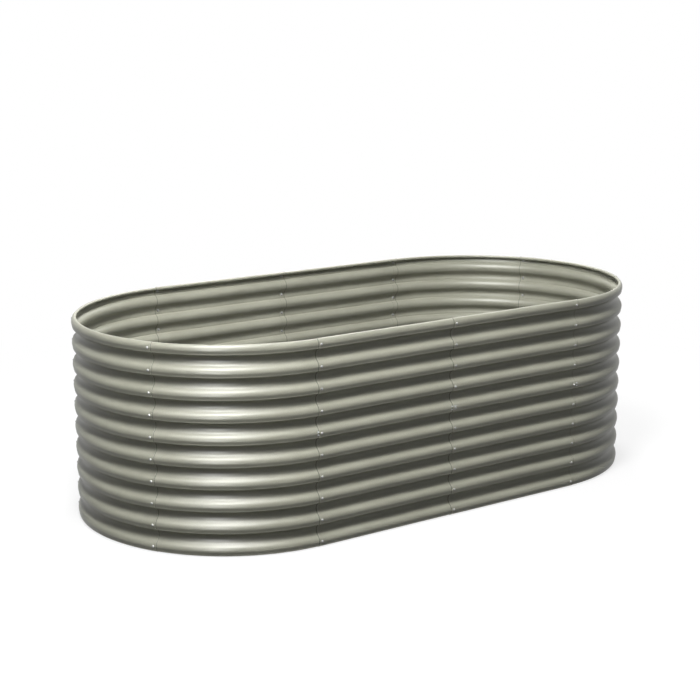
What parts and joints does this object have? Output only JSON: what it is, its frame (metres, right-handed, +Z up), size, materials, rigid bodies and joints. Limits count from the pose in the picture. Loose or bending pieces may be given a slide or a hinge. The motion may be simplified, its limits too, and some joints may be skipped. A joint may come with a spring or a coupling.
{
  "type": "raised garden bed",
  "caption": "Tall oval raised garden bed of ribbed painted steel panels bolted together, open at top and bottom, with flat straps across.",
  "frame": {"origin": "on the ground at the middle of the bed's plan", "axes": "+X along the bed's length, +Y across it, +Z up"},
  "size_m": [2.4384, 1.2256, 0.7743],
  "materials": {
    "painted_sheet": "satin grey-olive metallic paint",
    "fastener_steel": "plain stainless steel",
    "brace_steel": "galvanised"
  },
  "bodies": {
    "root": {"back_left_corner_panel": "painted_sheet", "back_left_side_panel": "painted_sheet", "back_right_corner_panel": "painted_sheet", "back_right_side_panel": "painted_sheet", "front_left_corner_panel": "painted_sheet", "front_left_side_panel": "painted_sheet", "front_right_corner_panel": "painted_sheet", "front_right_side_panel": "painted_sheet", "left_end_panel": "painted_sheet", "right_end_panel": "painted_sheet", "front_left_bolts": "fastener_steel", "front_middle_bolts": "fastener_steel", "front_right_bolts": "fastener_steel", "back_left_bolts": "fastener_steel", "back_middle_bolts": "fastener_steel", "back_right_bolts": "fastener_steel", "left_end_front_bolts": "fastener_steel", "left_end_back_bolts": "fastener_steel", "right_end_front_bolts": "fastener_steel", "right_end_back_bolts": "fastener_steel", "front_left_nuts": "fastener_steel", "front_middle_nuts": "fastener_steel", "front_right_nuts": "fastener_steel", "back_left_nuts": "fastener_steel", "back_middle_nuts": "fastener_steel", "back_right_nuts": "fastener_steel", "left_end_front_nuts": "fastener_steel", "left_end_back_nuts": "fastener_steel", "right_end_front_nuts": "fastener_steel", "right_end_back_nuts": "fastener_steel", "left_cross_brace": "brace_steel", "middle_cross_brace": "brace_steel", "right_cross_brace": "brace_steel"}
  },
  "joints": []
}
